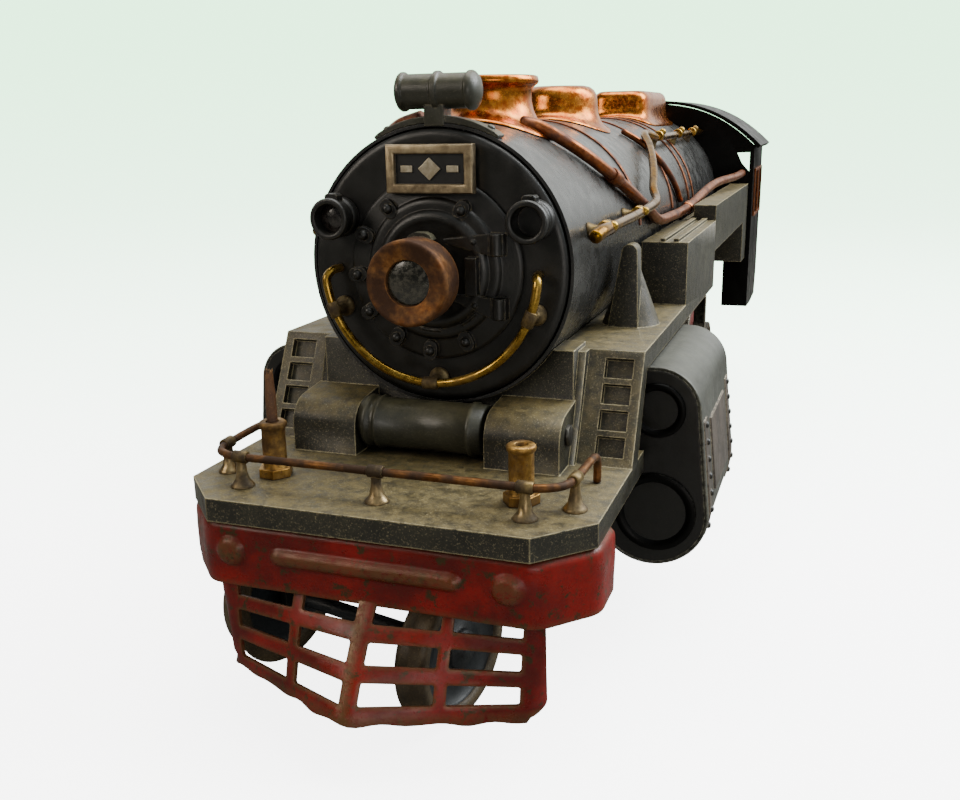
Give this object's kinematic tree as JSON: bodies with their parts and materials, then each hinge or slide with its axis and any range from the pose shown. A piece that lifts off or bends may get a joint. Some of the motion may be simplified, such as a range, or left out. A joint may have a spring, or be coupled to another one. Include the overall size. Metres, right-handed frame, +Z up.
{
  "type": "toy train locomotive",
  "caption": "Toy steam-outline electric locomotive with cast front deck, sheet boiler, copper domes, slatted pilot, cab and driving wheels with rods.",
  "frame": {"origin": "halfway along the model's length and on its middle plane, level with the bottom of the wheel flanges", "axes": "+Z up, +Y towards the cab, so the nose faces -Y; +X towards the locomotive's own left side"},
  "size_m": [0.1324, 0.39, 0.1498],
  "materials": {
    "gunmetal": "satin, worn at the edges",
    "deck_paint": "dusty olive-grey over cast metal",
    "black_paint": "satin black",
    "chest_paint": "pale grey-green, chalky",
    "copper": "polished copper with dark patina",
    "aged_copper": "brown patinated copper",
    "brass": "worn brass",
    "plate_metal": "antique nickel brass",
    "lens": "dusty",
    "red_paint": "worn red with brown rust",
    "wheel_red": "red",
    "nickel": "dull nickel",
    "steel": "oiled steel",
    "winding": "enamelled wire",
    "fibre": "fibre board",
    "truck_steel": "black"
  },
  "bodies": {
    "locomotive": {"frame_casting": "deck_paint", "air_tank": "gunmetal", "smokebox_front": "gunmetal", "smokebox_door": "gunmetal", "number_plate": "plate_metal", "headlight_housing": "aged_copper", "lamp_lenses": "lens", "marker_lamps": "gunmetal", "grab_rail": "brass", "boiler_shell": "gunmetal", "boiler_bands": "aged_copper", "feedwater_heater": "gunmetal", "smokestack": "copper", "steam_dome": "copper", "sand_dome": "copper", "copper_pipes": "aged_copper", "handrails": "brass", "handrail_posts": "brass", "deck_rail": "aged_copper", "deck_rail_posts": "brass", "flag_sockets": "brass", "flag_staff": "brass", "pilot": "red_paint", "steam_chests": "chest_paint", "cylinder_heads": "black_paint", "crosshead_guides": "nickel", "cab_body": "black_paint", "cab_roof": "black_paint", "window_frames": "aged_copper", "motor_side_plates": "steel", "field_magnet": "steel", "field_coil": "winding", "brush_holders": "fibre", "pickup_plate": "fibre", "reverse_unit": "steel", "frame_screws": "steel"},
    "armature_body": {"armature": "winding"},
    "idler": {"idler_gear": "brass"},
    "front_drivers": {"front_driver_wheels": "wheel_red", "front_driver_tyres": "nickel", "front_driver_axle": "steel"},
    "rear_drivers": {"rear_driver_wheels": "wheel_red", "rear_driver_tyres": "nickel", "rear_driver_axle": "steel", "rear_drive_gear": "brass"},
    "left_side_rod": {"side_rod_left": "nickel"},
    "right_side_rod": {"side_rod_right": "nickel"},
    "left_main_rod": {"main_rod_left": "nickel"},
    "right_main_rod": {"main_rod_right": "nickel"},
    "left_crosshead": {"crosshead_left": "nickel"},
    "right_crosshead": {"crosshead_right": "nickel"},
    "pilot_truck": {"pilot_truck_frame": "truck_steel"},
    "pilot_wheels": {"pilot_wheelset": "steel"},
    "trailing_truck": {"trailing_truck_frame": "truck_steel"},
    "trailing_wheels": {"trailing_wheelset": "steel"},
    "front_pickup": {"front_pickup_arm": "brass"},
    "rear_pickup": {"rear_pickup_arm": "brass"},
    "front_roller": {"front_pickup_roller": "brass"},
    "rear_roller": {"rear_pickup_roller": "brass"},
    "drawbar_body": {"drawbar": "steel"}
  },
  "joints": [
    {"name": "rear_axle_spin", "type": "hinge", "parent": "locomotive", "child": "rear_drivers", "pos_m": [0, 0.1017, 0.0326], "axis": [1, 0, 0], "continuous": true},
    {"name": "front_axle_spin", "type": "hinge", "parent": "locomotive", "child": "front_drivers", "pos_m": [0, 0.0237, 0.0326], "axis": [1, 0, 0], "continuous": true},
    {"name": "idler_spin", "type": "hinge", "parent": "locomotive", "child": "idler", "pos_m": [0, 0.07068, 0.05368], "axis": [1, 0, 0], "continuous": true},
    {"name": "armature_spin", "type": "hinge", "parent": "locomotive", "child": "armature_body", "pos_m": [0, 0.04719, 0.06223], "axis": [1, 0, 0], "continuous": true},
    {"name": "side_rod_left_pivot", "type": "hinge", "parent": "rear_drivers", "child": "left_side_rod", "pos_m": [0.0396, 0.1017, 0.0226], "axis": [1, 0, 0], "continuous": true},
    {"name": "side_rod_right_pivot", "type": "hinge", "parent": "rear_drivers", "child": "right_side_rod", "pos_m": [-0.0396, 0.1117, 0.0326], "axis": [1, 0, 0], "continuous": true},
    {"name": "main_rod_left_pivot", "type": "hinge", "parent": "rear_drivers", "child": "left_main_rod", "pos_m": [0.0442, 0.1017, 0.0226], "axis": [1, 0, 0], "continuous": true},
    {"name": "main_rod_right_pivot", "type": "hinge", "parent": "rear_drivers", "child": "right_main_rod", "pos_m": [-0.0442, 0.1117, 0.0326], "axis": [1, 0, 0], "continuous": true},
    {"name": "crosshead_left_slide", "type": "slide", "parent": "locomotive", "child": "left_crosshead", "axis": [0, 1, 0], "range_m": [-0.0108, 0.0092]},
    {"name": "crosshead_right_slide", "type": "slide", "parent": "locomotive", "child": "right_crosshead", "axis": [0, 1, 0], "range_m": [-0.02, 0]},
    {"name": "pilot_truck_swivel", "type": "hinge", "parent": "locomotive", "child": "pilot_truck", "pos_m": [0, -0.1033, 0.0478], "axis": [0, 0, 1], "range_deg": [-1, 29]},
    {"name": "pilot_axle_spin", "type": "hinge", "parent": "pilot_truck", "child": "pilot_wheels", "pos_m": [-0.01331, -0.15667, 0.0186], "axis": [0.9703, -0.2419, 0], "continuous": true},
    {"name": "trailing_truck_swivel", "type": "hinge", "parent": "locomotive", "child": "trailing_truck", "pos_m": [0, 0.1247, 0.0374], "axis": [0, 0, 1], "range_deg": [-8, 8]},
    {"name": "trailing_axle_spin", "type": "hinge", "parent": "trailing_truck", "child": "trailing_wheels", "pos_m": [0, 0.1587, 0.0186], "axis": [1, 0, 0], "continuous": true},
    {"name": "front_pickup_hinge", "type": "hinge", "parent": "locomotive", "child": "front_pickup", "pos_m": [0, 0.0477, 0.0164], "axis": [1, 0, 0], "range_deg": [-6, 14]},
    {"name": "rear_pickup_hinge", "type": "hinge", "parent": "locomotive", "child": "rear_pickup", "pos_m": [0, 0.0777, 0.0164], "axis": [1, 0, 0], "range_deg": [-14, 6]},
    {"name": "front_roller_spin", "type": "hinge", "parent": "front_pickup", "child": "front_roller", "pos_m": [0, 0.0347, 0.0072], "axis": [1, 0, 0], "continuous": true},
    {"name": "rear_roller_spin", "type": "hinge", "parent": "rear_pickup", "child": "rear_roller", "pos_m": [0, 0.0907, 0.0072], "axis": [1, 0, 0], "continuous": true},
    {"name": "drawbar_swing", "type": "hinge", "parent": "locomotive", "child": "drawbar_body", "pos_m": [0, 0.1707, 0.0705], "axis": [0, 0, 1], "range_deg": [-25, 25]}
  ],
  "couplings": [
    {"joint": "front_axle_spin", "follows": "rear_axle_spin", "ratio": 1},
    {"joint": "idler_spin", "follows": "rear_axle_spin", "ratio": -1.1429},
    {"joint": "armature_spin", "follows": "rear_axle_spin", "ratio": 2.6667},
    {"joint": "side_rod_left_pivot", "follows": "rear_axle_spin", "ratio": -1},
    {"joint": "side_rod_right_pivot", "follows": "rear_axle_spin", "ratio": -1},
    {"joint": "main_rod_left_pivot", "follows": "rear_axle_spin", "ratio": -1},
    {"joint": "main_rod_right_pivot", "follows": "rear_axle_spin", "ratio": -1}
  ]
}
